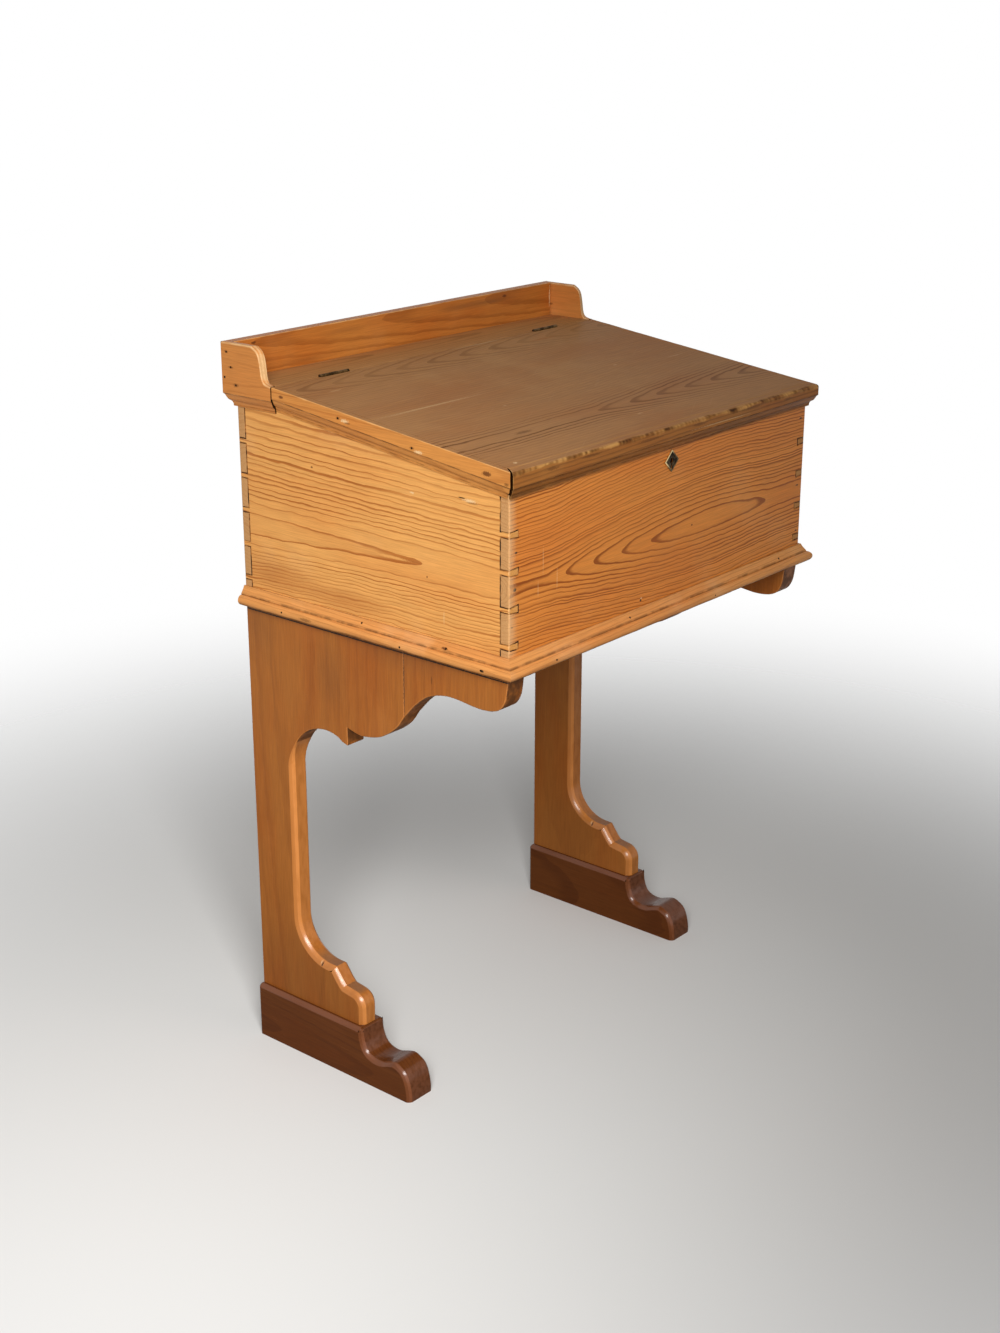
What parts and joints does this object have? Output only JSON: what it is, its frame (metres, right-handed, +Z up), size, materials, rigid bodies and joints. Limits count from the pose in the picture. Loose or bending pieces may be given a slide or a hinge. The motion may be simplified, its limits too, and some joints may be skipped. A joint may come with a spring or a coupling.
{
  "type": "school desk",
  "caption": "Tall pine school desk: dovetailed box with a hinged sloping lid, low gallery and lid lock, on two shaped board legs with hardwood feet.",
  "frame": {"origin": "on the floor, under the middle of the desk", "axes": "+Z up, +X to the sitter's right, -Y towards the sitter"},
  "size_m": [0.65, 0.471, 0.965],
  "materials": {
    "box_pine": "old waxed pine, orange tan",
    "inside_pine": "bare aged pine",
    "moulding_pine": "worn waxed pine, paler",
    "gallery_pine": "waxed pine, orange brown",
    "lid_pine": "dark stained pine, satin, worn edges",
    "lip_pine": "worn waxed pine",
    "leg_wood": "satin polished, orange brown",
    "foot_wood": "dark red brown hardwood, gloss",
    "hinge_brass": "dark tarnished brass",
    "escutcheon_brass": "rubbed brass",
    "lock_iron": "dark oiled iron",
    "screw_steel": "dull old steel"
  },
  "bodies": {
    "desk": {"box_front": "box_pine", "box_back": "box_pine", "box_side_left": "box_pine", "box_side_right": "box_pine", "bottom_board_front": "inside_pine", "bottom_board_rear": "inside_pine", "base_moulding_front": "moulding_pine", "base_moulding_left": "moulding_pine", "base_moulding_right": "moulding_pine", "hinge_ledge": "gallery_pine", "gallery_back": "gallery_pine", "gallery_end_left": "gallery_pine", "gallery_end_right": "gallery_pine", "hinge_fixed_leaf_left": "hinge_brass", "hinge_fixed_leaf_left_screw_a": "screw_steel", "hinge_fixed_leaf_left_screw_b": "screw_steel", "hinge_fixed_leaf_right": "hinge_brass", "hinge_fixed_leaf_right_screw_a": "screw_steel", "hinge_fixed_leaf_right_screw_b": "screw_steel", "hinge_pin_left": "screw_steel", "hinge_pin_right": "screw_steel", "escutcheon": "escutcheon_brass", "escutcheon_pin_left": "escutcheon_brass", "escutcheon_pin_right": "escutcheon_brass", "lock_plate": "lock_iron", "lock_case": "lock_iron", "lock_key_pin": "lock_iron", "lock_screw_left": "screw_steel", "lock_screw_right": "screw_steel", "leg_upright_left": "leg_wood", "leg_upright_right": "leg_wood", "leg_bracket_left": "leg_wood", "leg_bracket_right": "leg_wood", "bracket_dowel_upper_left": "leg_wood", "bracket_dowel_lower_left": "leg_wood", "bracket_dowel_upper_right": "leg_wood", "bracket_dowel_lower_right": "leg_wood", "foot_left": "foot_wood", "foot_right": "foot_wood", "leg_screw_front_left": "screw_steel", "leg_screw_rear_left": "screw_steel", "leg_screw_front_right": "screw_steel", "leg_screw_rear_right": "screw_steel"},
    "lid": {"lid_board": "lid_pine", "lid_edge_front": "lid_pine", "lid_edge_left": "lip_pine", "lid_edge_right": "lip_pine", "hinge_lid_leaf_left": "hinge_brass", "hinge_lid_leaf_left_screw_a": "screw_steel", "hinge_lid_leaf_left_screw_b": "screw_steel", "hinge_lid_leaf_right": "hinge_brass", "hinge_lid_leaf_right_screw_a": "screw_steel", "hinge_lid_leaf_right_screw_b": "screw_steel", "lock_strike": "hinge_brass", "strike_screw_left": "screw_steel", "strike_screw_right": "screw_steel"},
    "bolt": {"lock_bolt": "hinge_brass"}
  },
  "joints": [
    {"name": "lid_hinge", "type": "hinge", "parent": "desk", "child": "lid", "pos_m": [0, 0.1495, 0.919], "axis": [-1, 0, 0], "range_deg": [0, 115]},
    {"name": "lock_bolt_slide", "type": "slide", "parent": "desk", "child": "bolt", "axis": [1, 0, 0], "range_m": [0, 0.008]}
  ]
}
